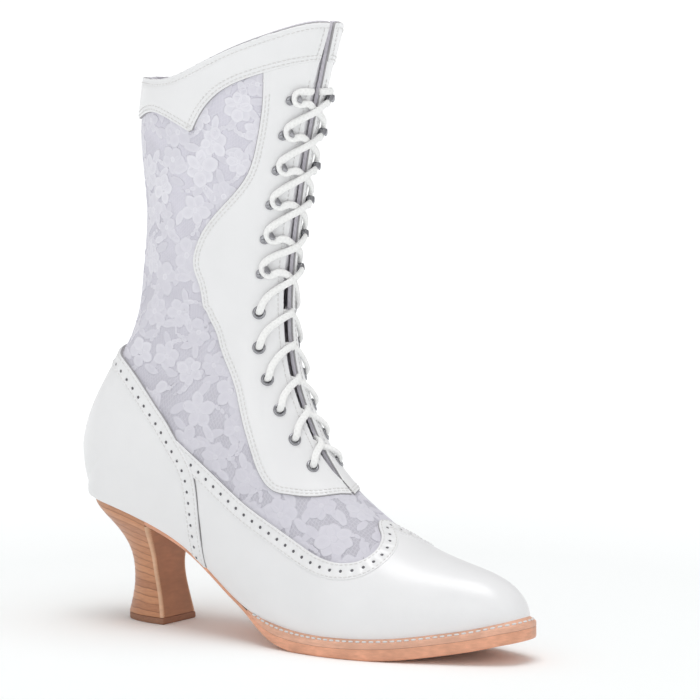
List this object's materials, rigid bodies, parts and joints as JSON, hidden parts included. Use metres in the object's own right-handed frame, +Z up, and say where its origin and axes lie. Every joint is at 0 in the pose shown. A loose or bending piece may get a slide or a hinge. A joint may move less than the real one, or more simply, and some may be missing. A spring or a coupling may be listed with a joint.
{
  "type": "lace-up boot",
  "caption": "Women's lace-up ankle boot for the right foot: hollow lace-cloth and leather upper, open at collar and throat, on a welted leather sole with a stacked spool heel.",
  "frame": {"origin": "middle of the heel's floor face", "axes": "+X to the toe, +Y to the inner side of the foot, +Z up"},
  "size_m": [0.2739, 0.0797, 0.3214],
  "materials": {
    "lace_cloth": "white floral lace over a pale lavender-grey ground cloth, matt",
    "white_leather": "smooth off-white leather, semi-gloss, punched edge strips and fine white stitching",
    "lining_cloth": "plain pale twill, matt",
    "insole_leather": "natural, matt",
    "sole_leather": "burnished tan edge with pale stitches on the welt",
    "stacked_leather": "waxed stack of layers, light and dark tan",
    "breast_leather": "smooth brown, pale edge",
    "top_lift_rubber": "dark tan, matt",
    "nickel": "plated, glossy",
    "cotton_lace": "white braided cord, matt"
  },
  "bodies": {
    "root": {"counter": "white_leather", "cuff": "white_leather", "eyelet_lateral_1": "nickel", "eyelet_lateral_2": "nickel", "eyelet_lateral_3": "nickel", "eyelet_lateral_4": "nickel", "eyelet_lateral_5": "nickel", "eyelet_lateral_6": "nickel", "eyelet_medial_1": "nickel", "eyelet_medial_2": "nickel", "eyelet_medial_3": "nickel", "eyelet_medial_4": "nickel", "eyelet_medial_5": "nickel", "eyelet_medial_6": "nickel", "eyestay_lateral": "white_leather", "eyestay_medial": "white_leather", "heel": "stacked_leather", "heel_breast": "breast_leather", "hook_lateral_1": "nickel", "hook_lateral_2": "nickel", "hook_lateral_3": "nickel", "hook_lateral_4": "nickel", "hook_lateral_5": "nickel", "hook_lateral_6": "nickel", "hook_medial_1": "nickel", "hook_medial_2": "nickel", "hook_medial_3": "nickel", "hook_medial_4": "nickel", "hook_medial_5": "nickel", "hook_medial_6": "nickel", "insole": "insole_leather", "lace": "cotton_lace", "outsole": "sole_leather", "tongue": "lining_cloth", "top_lift": "top_lift_rubber", "upper": "lace_cloth", "vamp": "white_leather", "welt": "sole_leather"}
  },
  "joints": []
}
